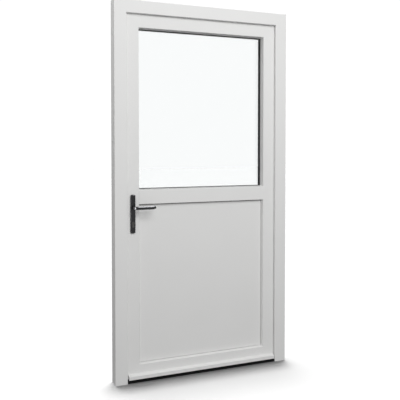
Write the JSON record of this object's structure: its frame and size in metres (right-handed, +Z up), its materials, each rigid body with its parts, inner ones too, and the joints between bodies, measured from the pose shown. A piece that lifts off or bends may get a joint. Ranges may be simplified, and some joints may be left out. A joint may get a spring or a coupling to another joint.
{
  "type": "front door",
  "caption": "Entrance door in a frame with a low threshold: hinged leaf with clear glass above, a flat panel below, a weather bar and a sprung lever handle over a key cylinder.",
  "frame": {"origin": "on the threshold's underside, at the middle of the frame's width and depth", "axes": "+X to the hinge side, +Y into the building, +Z up; the outside face looks along -Y"},
  "size_m": [1.06, 0.184, 2.1],
  "materials": {
    "white_profile": "smooth white extruded plastic",
    "white_panel": "smooth white panel skin",
    "white_trim": "smooth white plastic trim",
    "hinge_coating": "white powder coat",
    "black_anodised": "black anodised",
    "black_core": "black reinforced plastic",
    "tread_aluminium": "natural anodised",
    "black_rubber": "black extruded seal",
    "grey_rubber": "grey extruded seal",
    "clear_glass": "clear float glass",
    "spacer": "dark spacer bar",
    "dark_metal": "dark polished metal",
    "cylinder_metal": "satin nickel",
    "plated_steel": "zinc plated"
  },
  "bodies": {
    "frame": {"lock_jamb": "white_profile", "hinge_jamb": "white_profile", "frame_head": "white_profile", "threshold_nose": "black_anodised", "threshold_core": "black_core", "threshold_tread": "tread_aluminium", "frame_seal": "grey_rubber", "lock_keeps": "plated_steel", "hinge_frame_flags": "hinge_coating", "hinge_pins": "hinge_coating"},
    "leaf": {"lock_stile": "white_profile", "hinge_stile": "white_profile", "top_rail": "white_profile", "mid_rail": "white_profile", "bottom_rail": "white_profile", "outer_pane": "clear_glass", "inner_pane": "clear_glass", "pane_spacer": "spacer", "lower_panel": "white_panel", "glass_bead_left": "white_profile", "glass_bead_right": "white_profile", "glass_bead_top": "white_profile", "glass_bead_bottom": "white_profile", "panel_bead_left": "white_profile", "panel_bead_right": "white_profile", "panel_bead_top": "white_profile", "panel_bead_bottom": "white_profile", "glass_outer_gasket": "black_rubber", "glass_inner_gasket": "black_rubber", "panel_outer_gasket": "grey_rubber", "panel_inner_gasket": "grey_rubber", "leaf_seal": "grey_rubber", "bottom_seal": "black_rubber", "weather_bar": "white_trim", "weather_bar_caps": "white_trim", "outside_plate": "dark_metal", "inside_plate": "dark_metal", "lock_cylinder": "cylinder_metal", "lock_strip": "plated_steel", "lock_bolts": "plated_steel", "hinge_leaf_flags": "hinge_coating"},
    "lever_set": {"outside_lever": "dark_metal", "inside_lever": "dark_metal", "lever_spindle": "plated_steel"}
  },
  "joints": [
    {"name": "leaf_swing", "type": "hinge", "parent": "frame", "child": "leaf", "pos_m": [0.502, 0.062, 1], "axis": [0, 0, -1], "range_deg": [0, 100]},
    {"name": "lever_turn", "type": "hinge", "parent": "leaf", "child": "lever_set", "pos_m": [-0.4245, 0.02, 0.97], "axis": [0, 1, 0], "range_deg": [0, 40], "stiffness_Nm_per_rad": 2, "springref_deg": -20.05}
  ]
}
